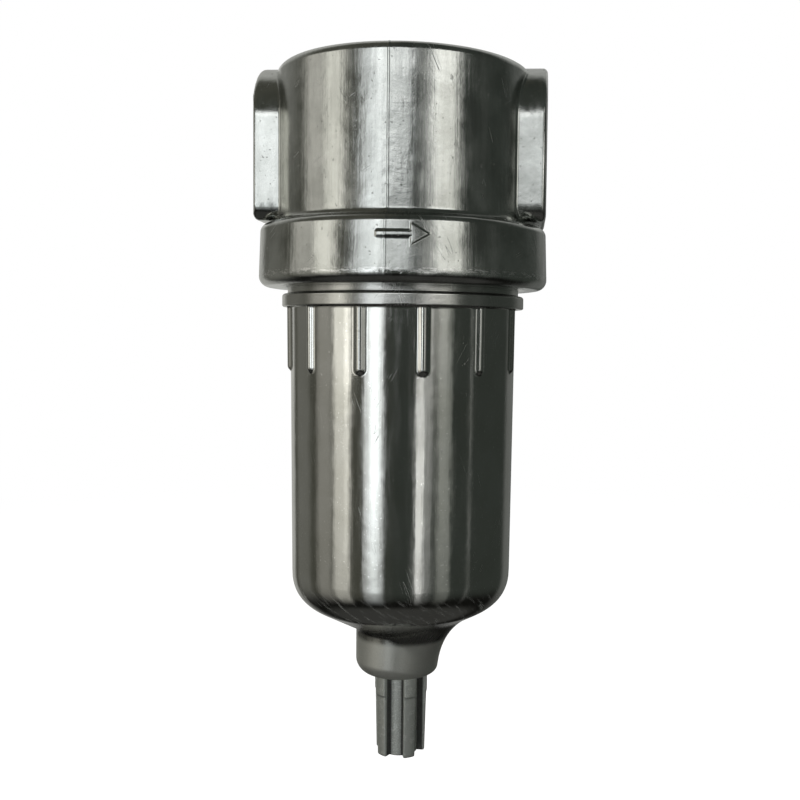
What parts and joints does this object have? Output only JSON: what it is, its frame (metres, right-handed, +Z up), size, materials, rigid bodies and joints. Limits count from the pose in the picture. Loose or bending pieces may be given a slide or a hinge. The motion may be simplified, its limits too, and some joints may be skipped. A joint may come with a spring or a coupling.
{
  "type": "compressed air filter",
  "caption": "In-line compressed air filter with two side pipe ports, a screw-on ribbed metal bowl and a fluted manual drain knob.",
  "frame": {"origin": "centre of the bounding box's bottom face, which is the tip of the drain knob on the bowl's axis", "axes": "+Z up along the bowl's axis, +X out of the outlet port, -Y the front with the casting's parting line"},
  "size_m": [0.08, 0.08, 0.1925],
  "materials": {
    "cast_metal": "satin die casting with tooling marks",
    "polished_metal": "smooth, half polished",
    "matte_cast_metal": "grainy matte casting",
    "brass": "turned",
    "plated_steel": "zinc plated",
    "sintered_bronze": "porous sintered grains",
    "dark_plastic": "moulded",
    "nitrile_rubber": "smooth, slightly greased",
    "gasket_fibre": "pressed fibre sheet"
  },
  "bodies": {
    "head": {"head": "cast_metal", "deflector_gasket": "gasket_fibre", "deflector": "dark_plastic", "element_top_gasket": "gasket_fibre", "filter_element": "sintered_bronze", "element_bottom_gasket": "gasket_fibre", "baffle": "dark_plastic", "flat_washer": "plated_steel", "spring_washer": "plated_steel", "stud_nut": "plated_steel", "tie_stud": "plated_steel"},
    "seal_carrier": {"bowl_seal": "nitrile_rubber"},
    "bowl": {"bowl": "polished_metal", "drain_body": "brass", "drain_gasket": "gasket_fibre", "knob_stop_ring": "plated_steel"},
    "drain_seals": {"knob_o_ring": "nitrile_rubber", "valve_tip": "nitrile_rubber"},
    "knob": {"drain_knob": "matte_cast_metal", "drain_needle": "brass"}
  },
  "joints": [
    {"name": "bowl_drop", "type": "slide", "parent": "head", "child": "seal_carrier", "axis": [0, 0, -1], "range_m": [0, 0.009]},
    {"name": "bowl_turn", "type": "hinge", "parent": "seal_carrier", "child": "bowl", "pos_m": [0, 0, 0.1374], "axis": [0, 0, -1], "range_deg": [0, 1080]},
    {"name": "drain_drop", "type": "slide", "parent": "bowl", "child": "drain_seals", "axis": [0, 0, -1], "range_m": [0, 0.003]},
    {"name": "drain_turn", "type": "hinge", "parent": "drain_seals", "child": "knob", "pos_m": [0, 0, 0.0235], "axis": [0, 0, -1], "range_deg": [0, 720]}
  ],
  "couplings": [
    {"joint": "bowl_drop", "follows": "bowl_turn", "m_per_rad": 0.00047746},
    {"joint": "drain_drop", "follows": "drain_turn", "m_per_rad": 0.00023873}
  ]
}
